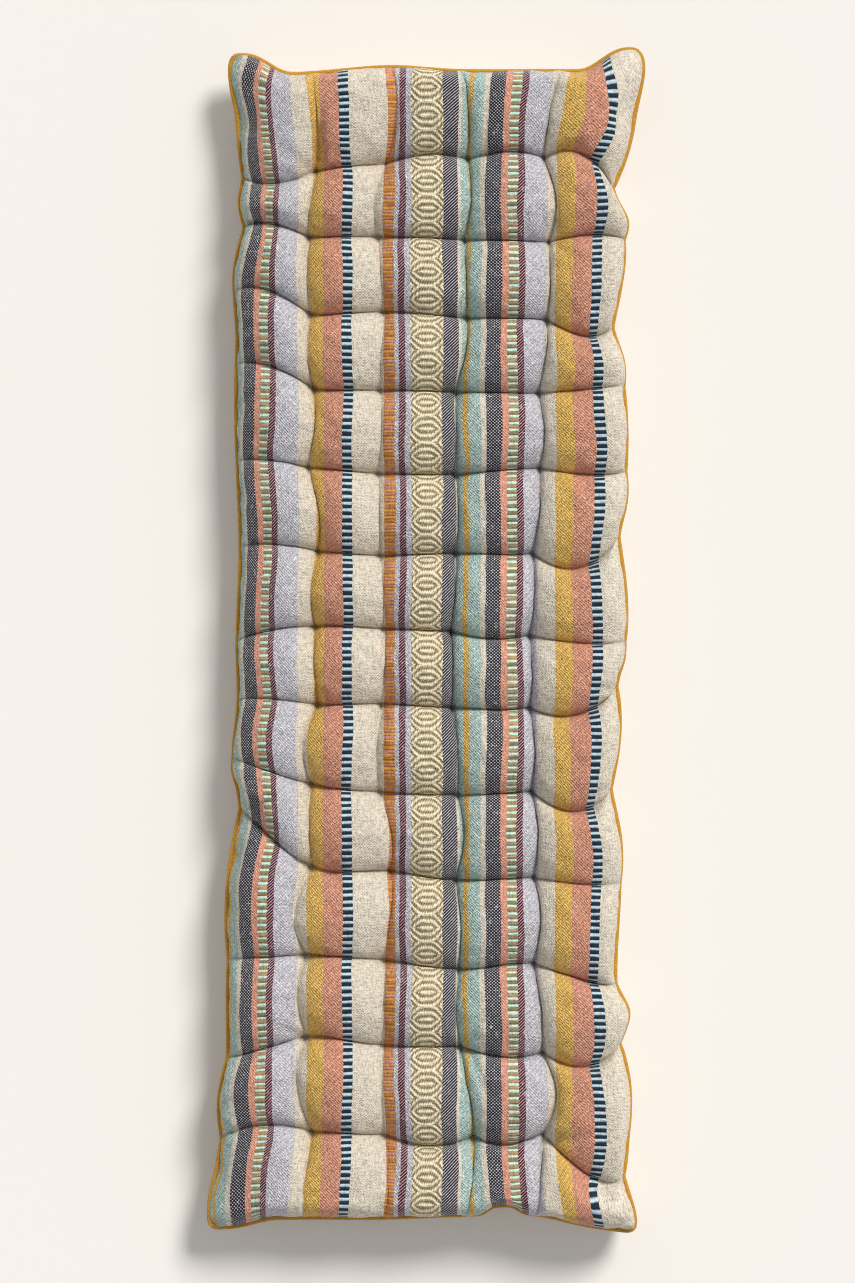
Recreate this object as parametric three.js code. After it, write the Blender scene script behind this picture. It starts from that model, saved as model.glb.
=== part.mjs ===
import * as THREE from 'three';

// A long tufted bench cushion with a piped knife edge, lying on its back.
// Millimetres, +Z up. The length runs along Y with the head end at +Y, the width along X.
// The origin is at the middle of the cushion, on the surface that it lies on.

// Heights above that surface
const crownHeight = 92;
const tuftHeight = 50;
const seamHeight = 44;
const undersideTuftHeight = 22;

// How far a fold that runs across the width, or along the length, climbs from a tuft to a crown
const acrossFoldFill = 0.5;
const alongFoldFill = 0.74;
const puffRoundness = 2.3;
const undersideDrop = 34;

// The padded rim: how far in from the seam the cloth needs to reach its full height
const rimReach = 38;
const cornerRadius = 11;
const cornerFlatness = 0.55;
const cornerFlatReach = 42;

// The piping: a covered cord, sewn into the seam and a hair clear of the filled body
const pipingRadius = 2.6;
const pipingGap = 0.4;
const pipingSides = 8;

// The four tufts of each row, from the head end to the foot end
const tuftRows = [
  { x: [-111, -41, 42, 119], y: [477, 484, 489, 490] },
  { x: [-118, -48, 39, 124], y: [410, 410, 407, 405] },
  { x: [-117, -43, 41, 122], y: [332, 334, 328, 326] },
  { x: [-114, -46, 30, 114], y: [257, 255, 253, 252] },
  { x: [-119, -48, 30, 115], y: [177, 171, 170, 176] },
  { x: [-109, -46, 30, 108], y: [92, 88, 90, 90] },
  { x: [-112, -43, 26, 105], y: [16, 14, 11, 7] },
  { x: [-109, -45, 27, 105], y: [-63, -62, -66, -66] },
  { x: [-116, -46, 32, 107], y: [-143, -151, -154, -151] },
  { x: [-115, -36, 30, 109], y: [-226, -231, -240, -238] },
  { x: [-121, -42, 33, 109], y: [-316, -321, -330, -325] },
  { x: [-121, -43, 35, 118], y: [-399, -407, -409, -415] },
  { x: [-115, -42, 48, 118], y: [-495, -498, -500, -498] },
];

// Where each row's fold meets the side seams, how deep it still is there, and how far the seam
// swells out, or draws in, on its way to the next row
const leftEnds = [
  { x: -184, y: 471, depth: 0.8, swell: 5 },
  { x: -183, y: 420, depth: 1.0, swell: 3 },
  { x: -193, y: 354, depth: 0.6, swell: -2 },
  { x: -191, y: 281, depth: 0.7, swell: 1 },
  { x: -190, y: 184, depth: 0.8, swell: 0 },
  { x: -187, y: 97, depth: 0.7, swell: 0 },
  { x: -190, y: 2, depth: 0.9, swell: 0 },
  { x: -189, y: -58, depth: 0.3, swell: 0 },
  { x: -194, y: -117, depth: 0.25, swell: 3 },
  { x: -187, y: -169, depth: 1.0, swell: 7 },
  { x: -199, y: -320, depth: 0.6, swell: 0 },
  { x: -200, y: -420, depth: 1.0, swell: 6 },
  { x: -206, y: -502, depth: 0.7, swell: 3 },
];
const rightEnds = [
  { x: 188, y: 460, depth: 1.0, swell: 8 },
  { x: 199, y: 407, depth: 0.8, swell: 3 },
  { x: 188, y: 319, depth: 1.0, swell: 5 },
  { x: 199, y: 259, depth: 0.4, swell: 1 },
  { x: 201, y: 173, depth: 0.8, swell: 4 },
  { x: 194, y: 107, depth: 0.9, swell: 4 },
  { x: 200, y: 1, depth: 0.35, swell: 1 },
  { x: 192, y: -45, depth: 0.9, swell: 7 },
  { x: 186, y: -148, depth: 0.9, swell: 5 },
  { x: 195, y: -243, depth: 0.35, swell: -1 },
  { x: 191, y: -346, depth: 1.0, swell: 11 },
  { x: 195, y: -406, depth: 0.9, swell: 12 },
  { x: 193, y: -534, depth: 1.0, swell: 5 },
];

// The end seams, from the left corner over the four tuft lines to the right corner
const headEdge = { x: [-187, -115, -37, 36, 134, 205], y: [573, 576, 582, 578, 578, 577] };
const footEdge = { x: [-211, -123, -42, 41, 112, 201], y: [-583, -582, -582, -579, -578, -587] };
const headSwell = { left: 4, right: 13 };

// Each corner is pulled out into an ear, which fades away over the ear's reach
const earReach = 38;
const ears = [
  { x: -187, y: 573, outX: -9, outY: 21 },
  { x: 205, y: 577, outX: 10, outY: 23 },
  { x: -211, y: -583, outX: -7, outY: -9 },
  { x: 201, y: -587, outX: 8, outY: -9 },
];

// Where the surface has its points: over a puff between two folds, and in from a seam to a fold
const puffSteps = [0, 0.13, 0.35, 0.65, 0.87];
const rimSteps = [0, 0.03, 0.075, 0.14, 0.24, 0.39, 0.6, 0.84];
const edgePuff = 78;

const lines = 4;
const rows = tuftRows.length;
const across = lines + 1;
const along = rows + 1;

// Lengthwise curves: the left seam, the four lines of tufts and the right seam
function lengthwiseCurves() {
  const curves = [];
  for (let line = 0; line <= across; line++) {
    const points = [new THREE.Vector2(headEdge.x[line], headEdge.y[line])];
    for (let row = 0; row < rows; row++) {
      let knot = { x: tuftRows[row].x[line - 1], y: tuftRows[row].y[line - 1] };
      if (line === 0) knot = leftEnds[row];
      if (line === across) knot = rightEnds[row];
      points.push(new THREE.Vector2(knot.x, knot.y));
    }
    points.push(new THREE.Vector2(footEdge.x[line], footEdge.y[line]));
    curves.push(new THREE.SplineCurve(points));
  }
  return curves;
}

const lengthwise = lengthwiseCurves();
const leftSwells = [headSwell.left, ...leftEnds.map((end) => end.swell)];
const rightSwells = [headSwell.right, ...rightEnds.map((end) => end.swell)];

// Plan place of a point: u counts the lines across from the left seam, v the rows from the head
function planPoint(u, v) {
  const crossing = lengthwise.map((curve) => curve.getPoint(v / along));
  const cell = Math.min(Math.floor(v), along - 1);
  const bow = Math.sin(Math.PI * (v - cell));
  crossing[0].x -= leftSwells[cell] * bow;
  crossing[across].x += rightSwells[cell] * bow;
  const point = new THREE.SplineCurve(crossing).getPoint(u / across);
  const moved = point.clone();
  for (const ear of ears) {
    const away = Math.hypot(point.x - ear.x, point.y - ear.y) / earReach;
    const pull = Math.exp(-away * away);
    moved.x += ear.outX * pull;
    moved.y += ear.outY * pull;
  }
  return moved;
}

// Distance in from the nearer end of a run of cells, in millimetres
function inset(position, cells) {
  return Math.min(position, cells - position) * edgePuff;
}

// Rounds a corner: the square of grid lines inside the corner's radius becomes a quarter disc
function roundCorner(u, v) {
  const a = 1 - inset(u, across) / cornerRadius;
  const b = 1 - inset(v, along) / cornerRadius;
  if (a <= 0 || b <= 0) return { u, v };
  const squeeze = Math.max(a, b) / Math.hypot(a, b);
  const du = ((1 - a * squeeze) * cornerRadius) / edgePuff;
  const dv = ((1 - b * squeeze) * cornerRadius) / edgePuff;
  return { u: u < across / 2 ? du : across - du, v: v < along / 2 ? dv : along - dv };
}

// Arch of a puff between two folds, 0 on a fold and 1 at the crown. Outer cells have no fold at
// the seam, so their arch stays full there.
function arch(position, cells) {
  const cell = Math.min(Math.floor(position), cells - 1);
  let side = 2 * (position - cell) - 1;
  if (cell === 0) side = Math.max(side, 0);
  if (cell === cells - 1) side = Math.min(side, 0);
  return 1 - Math.abs(side) ** puffRoundness;
}

// Depth that is left of a row's fold as it runs from the outer tuft to the side seam
function foldDepth(u, v) {
  const row = Math.min(Math.max(Math.round(v) - 1, 0), rows - 1);
  const end = u < across / 2 ? leftEnds[row] : rightEnds[row];
  const inward = Math.min(u, across - u, 1);
  return end.depth + (1 - end.depth) * inward;
}

// Share of the full puff at a point, 0 in a tuft and 1 on a crown
function fill(u, v) {
  const acrossArch = arch(u, across);
  const alongArch = 1 - foldDepth(u, v) * (1 - arch(v, along));
  const both = 1 - acrossFoldFill - alongFoldFill;
  return acrossFoldFill * acrossArch + alongFoldFill * alongArch + both * acrossArch * alongArch;
}

function rimShare(distance) {
  const side = 1 - Math.min(distance / rimReach, 1);
  return Math.sqrt(1 - side * side);
}

// Share of its full height that the cloth has this near to the seam, less again in the ears
function rise(u, v) {
  const p = inset(u, across);
  const q = inset(v, along);
  const away = Math.hypot(p, q) / cornerFlatReach;
  return rimShare(p) * rimShare(q) * (1 - cornerFlatness * Math.exp(-away * away));
}

function topHeight(u, v) {
  const full = tuftHeight + (crownHeight - tuftHeight) * fill(u, v);
  return seamHeight + (full - seamHeight) * rise(u, v);
}

// The underside has the same puffs, pressed flat where they bear on the surface
function undersideHeight(u, v) {
  const full = Math.max(0, undersideTuftHeight - undersideDrop * fill(u, v));
  return seamHeight + (full - seamHeight) * rise(u, v);
}

// Grid lines over a run of cells, closer together at the seams and beside each fold
function gridLines(cells) {
  const inner = [];
  for (let cell = 1; cell < cells - 1; cell++) {
    inner.push(...puffSteps.map((step) => cell + step));
  }
  const far = rimSteps.map((step) => cells - step).reverse();
  return [...rimSteps, ...inner, cells - 1, ...far];
}

const uLines = gridLines(across);
const vLines = gridLines(along);
const lastU = uLines.length - 1;
const lastV = vLines.length - 1;

// The two cloths of the body share their points along the seam
function bodyGeometry() {
  const positions = [];
  const topIndex = [];
  const undersideIndex = [];
  for (let j = 0; j <= lastV; j++) {
    for (let i = 0; i <= lastU; i++) {
      const [u, v] = [uLines[i], vLines[j]];
      const rounded = roundCorner(u, v);
      const plan = planPoint(rounded.u, rounded.v);
      const onSeam = i === 0 || j === 0 || i === lastU || j === lastV;
      topIndex.push(positions.length / 3);
      positions.push(plan.x, plan.y, topHeight(u, v));
      undersideIndex.push(onSeam ? topIndex.at(-1) : positions.length / 3);
      if (!onSeam) positions.push(plan.x, plan.y, undersideHeight(u, v));
    }
  }

  const faces = [];
  for (let j = 0; j < lastV; j++) {
    for (let i = 0; i < lastU; i++) {
      const cornerWise = i < lastU / 2 === j < lastV / 2;
      const a = j * (lastU + 1) + i;
      const [b, c, d] = [a + lastU + 1, a + lastU + 2, a + 1];
      const halves = cornerWise ? [[a, b, c], [a, c, d]] : [[a, b, d], [b, c, d]];
      for (const [p, q, r] of halves) {
        faces.push(topIndex[p], topIndex[q], topIndex[r]);
        faces.push(undersideIndex[p], undersideIndex[r], undersideIndex[q]);
      }
    }
  }
  return meshGeometry(positions, faces);
}

function meshGeometry(positions, faces) {
  const geometry = new THREE.BufferGeometry();
  geometry.setAttribute('position', new THREE.Float32BufferAttribute(positions, 3));
  geometry.setIndex(faces);
  geometry.computeVertexNormals();
  return geometry;
}

// The seam's own points, once round from the head end's left corner
function seamPoints() {
  const round = [];
  for (let j = 0; j < lastV; j++) round.push([0, vLines[j]]);
  for (let i = 0; i < lastU; i++) round.push([uLines[i], along]);
  for (let j = lastV; j > 0; j--) round.push([across, vLines[j]]);
  for (let i = lastU; i > 0; i--) round.push([uLines[i], 0]);
  return round.map(([u, v]) => {
    const rounded = roundCorner(u, v);
    return planPoint(rounded.u, rounded.v);
  });
}

// The cord's centre line runs beside the seam, with a step at each of the seam's points
class PipingCurve extends THREE.Curve {
  constructor(seam, offset) {
    super();
    this.points = seam.map((point, index) => {
      const before = seam.at(index - 1);
      const after = seam[(index + 1) % seam.length];
      const run = after.clone().sub(before).normalize();
      return new THREE.Vector3(point.x + run.y * offset, point.y - run.x * offset, seamHeight);
    });
  }

  getPoint(t) {
    const count = this.points.length;
    const place = t * count;
    const index = Math.floor(place);
    const from = this.points[index % count];
    const to = this.points[(index + 1) % count];
    return from.clone().lerp(to, place - index);
  }

  getPointAt(t) {
    return this.getPoint(t);
  }

  getTangentAt(t) {
    const step = 1 / this.points.length;
    return this.getPoint((t + step) % 1).sub(this.getPoint((t + 1 - step) % 1)).normalize();
  }
}

function pipingGeometry() {
  const path = new PipingCurve(seamPoints(), pipingRadius + pipingGap);
  return new THREE.TubeGeometry(path, path.points.length, pipingRadius, pipingSides, true);
}

function piece(name, geometry, color, roughness) {
  const material = new THREE.MeshStandardMaterial({ color, roughness, metalness: 0 });
  const mesh = new THREE.Mesh(geometry, material);
  mesh.name = name;
  return mesh;
}

const cushion = new THREE.Group();
cushion.add(piece('cushion', bodyGeometry(), 0xc9b79c, 0.95));
cushion.add(piece('piping', pipingGeometry(), 0xd49a35, 0.9));

const box = new THREE.Box3().setFromObject(cushion);
cushion.position.x = -(box.min.x + box.max.x) / 2;
cushion.position.y = -(box.min.y + box.max.y) / 2;

export default cushion;
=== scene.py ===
"""A long tufted bench cushion: a padded striped cover, its piping and its tuft stitches."""

import math
from collections import namedtuple
from functools import reduce

import bpy
import numpy as np
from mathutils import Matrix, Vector


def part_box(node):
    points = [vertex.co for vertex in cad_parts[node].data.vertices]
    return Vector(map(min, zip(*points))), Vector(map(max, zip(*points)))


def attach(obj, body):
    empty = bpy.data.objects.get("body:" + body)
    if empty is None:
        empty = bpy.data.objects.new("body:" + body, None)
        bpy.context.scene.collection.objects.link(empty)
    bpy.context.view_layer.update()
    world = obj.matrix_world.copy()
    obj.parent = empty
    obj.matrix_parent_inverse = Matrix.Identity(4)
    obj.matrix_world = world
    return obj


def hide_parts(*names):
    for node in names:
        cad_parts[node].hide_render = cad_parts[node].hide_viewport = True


bl_info = {
    "name": "Tufted bench cushion",
    "version": (1, 0, 0),
    "blender": (4, 5, 0),
    "location": "3D View > Sidebar > Cushion",
    "description": "Makes a padded striped cover, its piping, its tuft stitches and a plain studio",
    "category": "Add Mesh",
}

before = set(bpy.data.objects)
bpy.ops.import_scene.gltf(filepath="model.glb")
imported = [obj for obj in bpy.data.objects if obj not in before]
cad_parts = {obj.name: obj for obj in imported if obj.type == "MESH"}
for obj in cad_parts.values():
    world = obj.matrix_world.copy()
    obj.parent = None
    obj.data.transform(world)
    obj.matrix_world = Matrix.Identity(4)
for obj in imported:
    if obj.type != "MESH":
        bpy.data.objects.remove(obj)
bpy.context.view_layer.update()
BODY_LOW, BODY_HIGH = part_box("cushion")
CORD_LOW, CORD_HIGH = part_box("piping")

MM = 0.001
TINY = 1e-9
SEAM_HEIGHT = (CORD_LOW.z + CORD_HIGH.z) / 2
CORD_RADIUS = (CORD_HIGH.z - CORD_LOW.z) / 2

RowEnd = namedtuple("RowEnd", "x y depth swell")
Crease = namedtuple("Crease", "start end depth width")
Pull = namedtuple("Pull", "at by reach")
Stripe = namedtuple("Stripe", "width main second third weave")

# The plan, in millimetres: the four tufts of each row, from the head end to the foot end
TUFT_ROWS = (
    {"x": (-111, -41, 42, 119), "y": (477, 484, 489, 490)},
    {"x": (-118, -48, 39, 124), "y": (410, 410, 407, 405)},
    {"x": (-117, -43, 41, 122), "y": (332, 334, 328, 326)},
    {"x": (-114, -46, 30, 114), "y": (257, 255, 253, 252)},
    {"x": (-119, -48, 30, 115), "y": (177, 171, 170, 176)},
    {"x": (-109, -46, 30, 108), "y": (92, 88, 90, 90)},
    {"x": (-112, -43, 26, 105), "y": (16, 14, 11, 7)},
    {"x": (-109, -45, 27, 105), "y": (-63, -62, -66, -66)},
    {"x": (-116, -46, 32, 107), "y": (-143, -151, -154, -151)},
    {"x": (-115, -36, 30, 109), "y": (-226, -231, -240, -238)},
    {"x": (-121, -42, 33, 109), "y": (-316, -321, -330, -325)},
    {"x": (-121, -43, 35, 118), "y": (-399, -407, -409, -415)},
    {"x": (-115, -42, 48, 118), "y": (-495, -498, -500, -498)},
)

# Where each row's fold meets the side seams, how deep it still is there, and how far the seam
# swells out, or draws in, on its way to the next row
LEFT_ENDS = (
    RowEnd(-184, 471, 0.8, 5),
    RowEnd(-183, 420, 1.0, 3),
    RowEnd(-193, 354, 0.6, -2),
    RowEnd(-191, 281, 0.7, 1),
    RowEnd(-190, 184, 0.8, 0),
    RowEnd(-187, 97, 0.7, 0),
    RowEnd(-190, 2, 0.9, 0),
    RowEnd(-189, -58, 0.3, 0),
    RowEnd(-194, -117, 0.25, 3),
    RowEnd(-187, -169, 1.0, 7),
    RowEnd(-199, -320, 0.6, 0),
    RowEnd(-200, -420, 1.0, 6),
    RowEnd(-206, -502, 0.7, 3),
)
RIGHT_ENDS = (
    RowEnd(188, 460, 1.0, 8),
    RowEnd(199, 407, 0.8, 3),
    RowEnd(188, 319, 1.0, 5),
    RowEnd(199, 259, 0.4, 1),
    RowEnd(201, 173, 0.8, 4),
    RowEnd(194, 107, 0.9, 4),
    RowEnd(200, 1, 0.35, 1),
    RowEnd(192, -45, 0.9, 7),
    RowEnd(186, -148, 0.9, 5),
    RowEnd(195, -243, 0.35, -1),
    RowEnd(191, -346, 1.0, 11),
    RowEnd(195, -406, 0.9, 12),
    RowEnd(193, -534, 1.0, 5),
)

# The end seams, from the left corner over the four tuft lines to the right corner
HEAD_EDGE = {"x": (-187, -115, -37, 36, 134, 205), "y": (573, 576, 582, 578, 578, 577)}
FOOT_EDGE = {"x": (-211, -123, -42, 41, 112, 201), "y": (-583, -582, -582, -579, -578, -587)}
HEAD_SWELL = {"left": 4, "right": 13}

# Each corner is pulled out into an ear, which ends soon after its reach, and the foot seam is
# pulled in at one place: where, how far across and along, and its reach
SEAM_PULLS = (
    Pull((-187, 573), (-9, 21), 35),
    Pull((205, 577), (10, 23), 34),
    Pull((-211, -583), (-7, -9), 42),
    Pull((201, -587), (8, -9), 72),
    Pull((78, -580), (0, 8), 18),
)

# How far each row's fold bends towards the head between two knots: in the left puff, in the three
# puffs between the tufts and in the right puff
ROW_BENDS = (
    (-9, 0, 5, 3, 16),
    (7, 0, 0, 0, 5),
    (12, 0, 0, 0, -12),
    (9, 0, 0, 0, 0),
    (3, 0, 0, 0, -5),
    (4, 0, 0, 0, -22),
    (3, 0, 0, -5, -4),
    (3, 0, 0, 0, -16),
    (0, 0, 0, 0, -20),
    (0, 0, 0, 0, -3),
    (0, 0, 0, 0, -4),
    (-2, 0, 0, -5, -16),
    (10, 0, -8, -9, -16),
)

# How far the fold along each line of tufts bows to the right in each cell, from the head down
LINE_BOWS = (
    (2, -2, -1, -4, 4, 5, -5, -2, -10, -2, -14, -7, -12, -3),
    (8, -6, 0, -1, 2, 0, 1, 2, -3, 5, 2, 0, -2, 3),
    (3, 4, 0, 3, 1, 2, 1, 1, 2, 6, 3, -2, 1, 0),
    (0, 9, 1, 2, 4, 2, 3, 2, 3, 4, 6, 2, 11, 0),
)

# Small creases in the top cloth, each deepest where it starts and gone where it ends: its start,
# its end, its depth and its width
CREASES = (
    Crease((182, 461), (148, 477), 3.5, 4),
    Crease((141, 500), (181, 507), 4.0, 4),
    Crease((158, 444), (137, 459), 1.8, 4),
    Crease((121, 412), (111, 454), 2.5, 4),
    Crease((132, 398), (168, 378), 2.5, 4),
    Crease((193, -48), (158, -44), 4.0, 4),
    Crease((187, -147), (162, -156), 3.5, 4),
    Crease((124, -504), (180, -494), 4.5, 5),
    Crease((204, -466), (180, -496), 1.8, 4),
    Crease((95, -580), (98, -520), 4.0, 4),
    Crease((113, -574), (116, -512), 3.0, 4),
    Crease((-156, 580), (-136, 550), 3.5, 5),
    Crease((-121, 480), (-165, 510), 3.0, 5),
    Crease((-107, 488), (-105, 566), 3.5, 4),
    Crease((-184, 434), (-163, 419), 3.0, 4),
    Crease((-193, 313), (-163, 321), 3.5, 4),
    Crease((-188, 244), (-158, 253), 3.0, 4),
    Crease((-121, 178), (-163, 168), 3.0, 4),
    Crease((-175, -166), (-148, -152), 4.5, 4),
    Crease((-119, -224), (-152, -223), 1.8, 4),
    Crease((-123, -400), (-155, -382), 2.5, 4),
    Crease((-204, -491), (-180, -507), 2.5, 4),
    Crease((-192, -46), (-170, -50), 2.5, 4),
    Crease((-196, -210), (-176, -215), 2.5, 4),
    Crease((65, 576), (58, 492), 4.5, 4),
    Crease((45, -414), (63, -462), 3.5, 4),
    Crease((-43, -68), (-56, -146), 3.5, 5),
)

# The ridge beside a crease: its share of the depth, and its place in widths of the crease
RIDGE_SHARE = 0.4
RIDGE_PLACE = 2.0

# Small waves in the top cloth: their lengths in millimetres, and how quickly their crests bend
WAVE_LENGTHS = (14, 46)
CREST_BEND = 0.37

# Puffs across and along, and the width in millimetres that an outer puff is taken to have
ACROSS = 5
ALONG = len(TUFT_ROWS) + 1
EDGE_PUFF = 78

# Steps along each side of the seam: to centre the plan, and to lay the cord
PLAN_STEPS = 400
CORD_STEPS = 3000

# The corners: their radius, and how flat the ears are and how far in that reaches
CORNER_RADIUS = 11
CORNER_FLATNESS = 0.55
CORNER_FLAT_REACH = 42

# How deep the fold along each line of tufts is, from the left line to the right one, and how
# tightly its two puffs press together: 1 is a soft valley, 0.5 a crease between round puffs
LINE_DEPTH = (1.35, 1.05, 1.55, 1.75)
LINE_TIGHTNESS = (0.6, 0.65, 0.45, 0.4)
ROW_TIGHTNESS = 0.45

# Share of a puff's height that the lines' folds and the rows' folds each take away by themselves,
# how soon the lines' folds are full below the end seams, and how much of them is left there
ACROSS_FOLD_FILL = 0.33
ALONG_FOLD_FILL = 0.62
END_FADE = 1.25
LINE_AT_END = 0.25

# The rim over the seam: 2 is round and less is flatter, and the left one also reaches further in
RIM_ROUNDNESS = 2.2
LEFT_RIM_ROUNDNESS = 1.65
LONGER_LEFT_RIM = 2.4

# Places where the cloth is pulled sideways in its own plane: where, how far, and how far that
# reaches across and along
CLOTH_PULLS = (
    Pull((196, 588), 11, (24, 24)),
    Pull((186, 518), -8, (34, 34)),
    Pull((180, 360), 4, (45, 110)),
    Pull((188, -460), 4, (40, 50)),
    Pull((192, -575), 9, (40, 40)),
    Pull((-175, 588), -15, (24, 24)),
    Pull((-183, 425), -9, (40, 50)),
    Pull((-190, -170), -8, (40, 70)),
    Pull((-198, -310), -8, (40, 70)),
    Pull((-202, -420), -9, (40, 70)),
    Pull((-206, -520), -9, (40, 60)),
    Pull((-200, -590), -9, (35, 30)),
    Pull((-214, -575), -4, (14, 35)),
)

# Share of the cloth in each line's folds, in the left rim as far in as its end, and in the rows'
# folds that really is taken up, as the deepest part is only stitched in
LINE_TAKEN = (0.68, 0.6, 0.42, 0.42)
LEFT_RIM_TAKEN = 0.9
LEFT_RIM_END = 0.6
ROW_TAKEN = 0.72

# How far the cloth taken up is evened out, in rows and in lines, and the rows at each end that
# don't count for the straight side seams
SIDE_EVENING = 0.6
LENGTH_EVENING = 3.0
END_ROWS = 1.5

# Height over the seam at which the small creases reach their full depth
TOP_BLEND = 0.014

# Points over a rim, then over the rest of an outer puff, and over an inner puff
RIM_STEPS = 8
OUTER_STEPS = 9
PUFF_STEPS_ACROSS = 14
PUFF_STEPS_ALONG = 15

# How far the grid lines crowd towards the folds
FOLD_CROWDING = 0.75

# How firmly the stuffed cloth is held round a tuft and along a row's fold, over how many millimetres
TUFT_HOLD_REACH = 6
FOLD_HOLD_REACH = 3
FOLD_HOLD = 0.35

# The cover's cloth as it is stuffed
STUFFED_CLOTH = {
    "quality": 6,
    "mass": 0.25,
    "tension_stiffness": 20,
    "compression_stiffness": 8,
    "shear_stiffness": 5,
    "bending_stiffness": 0.3,
    "pin_stiffness": 1.0,
    "use_pressure": True,
}

# Room over a puff into which the stuffing lifts it, in metres
STUFFING_ROOM = 0.004

# The cord: how much its thickness varies, and over how many steps that is evened out
CORD_SWELL = 0.05
CORD_SWELL_STEPS = 5

# A stitch: how far its loop bows, as a share of its length, how far apart its two threads are in
# height, in metres, and how far it may be turned, in radians
LOOP_BOW = -0.35
CROSS_DROP = -0.0008
STITCH_TURN = 0.5

# The studio
FLOOR_HALF = 4.0
FLOOR_ROUGHNESS = 0.9
FLOOR_SHINE = 0.1
LIGHT_FROM = (0.62, 0.83, 0.95)
LIGHT_COLOUR = (1.0, 0.975, 0.94)
SKY_COLOUR = (0.97, 0.98, 1.0, 1)
CAMERA_OFFSET = (0.0015, -0.0015)
SENSOR_HEIGHT = 36.0
VIEW_END = 50.0
PIXEL_FILTER = 1.1

# The cloth's yarns, in sRGB 0-255. Sand, grey, ochre, brick and jade, and terracotta beside coral,
# are painted shade where a twill or plain stripe shows them between its yarns
YARNS = {
    "cream": ((226, 217, 200), "Undyed cotton of the wide pale stripes"),
    "sand": ((196, 184, 160), "Shade between undyed yarns"),
    "white": ((204, 200, 202), "White of the checks"),
    "navy": ((26, 27, 42), "Dark of the navy check"),
    "violet": ((40, 34, 50), "Dark of the violet check"),
    "coral": ((226, 160, 136), "Coral line"),
    "lilac": ((214, 212, 217), "Lilac stripe"),
    "grey": ((150, 149, 162), "Shade between lilac yarns"),
    "mustard": ((238, 198, 112), "Mustard stripe"),
    "ochre": ((164, 118, 44), "Shade between mustard yarns"),
    "terracotta": ((228, 168, 142), "Terracotta stripe"),
    "brick": ((158, 92, 70), "Shade between terracotta yarns"),
    "mint": ((192, 222, 208), "Pale bars of the mint ladder"),
    "olive": ((124, 116, 80), "Dark bars of the mint ladder"),
    "sky": ((184, 206, 214), "Pale bars of the blue ladder"),
    "ink": ((32, 42, 56), "Dark bars of the blue ladder"),
    "wine": ((80, 18, 46), "Dark of the wine check"),
    "pink": ((206, 174, 176), "Pale of the wine check"),
    "orange": ((206, 146, 64), "Orange bars"),
    "amber": ((176, 112, 56), "Shade between orange bars"),
    "aqua": ((194, 216, 209), "Aqua stripe"),
    "jade": ((118, 148, 142), "Shade between aqua yarns"),
    "honey": ((232, 218, 186), "Raised yarn of the oval pattern"),
    "moss": ((154, 139, 98), "Ground of the oval pattern"),
    "bark": ((168, 150, 118), "Specks in the undyed yarn"),
    "rose": ((196, 140, 132), "Specks in the orange bars"),
    "tan": ((184, 146, 108), "Middle bars of the mint ladder"),
    "gold": ((214, 156, 52), "Bias strip of the piping"),
    "calico": ((214, 204, 182), "Plain cloth of the underside"),
}

# One repeat of the cloth across its width, in millimetres, from the navy check on: how wide each
# stripe is, its main, second and third colour, and its weave. In a twill or plain stripe the second
# colour is painted shade between the yarns; in the others it is a real yarn
CLOTH_START = -207.2
STRIPES = (
    Stripe(15.0, "navy", "white", "lilac", "check"),
    Stripe(5.5, "coral", "terracotta", "white", "twill"),
    Stripe(10.0, "mint", "olive", "tan", "ladder"),
    Stripe(6.5, "wine", "pink", "white", "strokes"),
    Stripe(23.5, "lilac", "grey", "white", "twill"),
    Stripe(20.3, "cream", "sand", "bark", "plain"),
    Stripe(16.7, "mustard", "ochre", "amber", "twill"),
    Stripe(19.3, "terracotta", "brick", "coral", "twill"),
    Stripe(10.4, "sky", "ink", "ink", "ladder"),
    Stripe(36.0, "cream", "sand", "bark", "plain"),
    Stripe(12.0, "orange", "amber", "rose", "ladder"),
    Stripe(4.5, "lilac", "grey", "white", "twill"),
    Stripe(6.5, "wine", "pink", "white", "strokes"),
    Stripe(5.0, "lilac", "grey", "white", "twill"),
    Stripe(32.0, "honey", "moss", "white", "oval"),
    Stripe(14.5, "violet", "white", "grey", "strokes"),
    Stripe(3.0, "cream", "sand", "bark", "plain"),
    Stripe(12.0, "aqua", "jade", "white", "twill"),
    Stripe(5.5, "mustard", "ochre", "amber", "twill"),
    Stripe(12.5, "aqua", "jade", "white", "twill"),
    Stripe(5.5, "cream", "sand", "bark", "plain"),
)
CLOTH_REPEAT = sum(stripe.width for stripe in STRIPES)


def linear(colour):
    """A 0-255 sRGB colour as linear RGBA."""
    channels = [c / 255 for c in colour]
    values = [c / 12.92 if c <= 0.04045 else ((c + 0.055) / 1.055) ** 2.4 for c in channels]
    return (*values, 1.0)


def smooth_step(value):
    value = np.clip(value, 0, 1)
    return value * value * (3 - 2 * value)


# Plan of the cushion

def lattice():
    """The seam and tuft points as an array of lines, rows and plan coordinates."""
    rows = [list(zip(HEAD_EDGE["x"], HEAD_EDGE["y"]))]
    for left, tufts, right in zip(LEFT_ENDS, TUFT_ROWS, RIGHT_ENDS):
        inner = list(zip(tufts["x"], tufts["y"]))
        rows.append([(left.x, left.y), *inner, (right.x, right.y)])
    rows.append(list(zip(FOOT_EDGE["x"], FOOT_EDGE["y"])))
    return np.array(rows, float).transpose(1, 0, 2)


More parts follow.
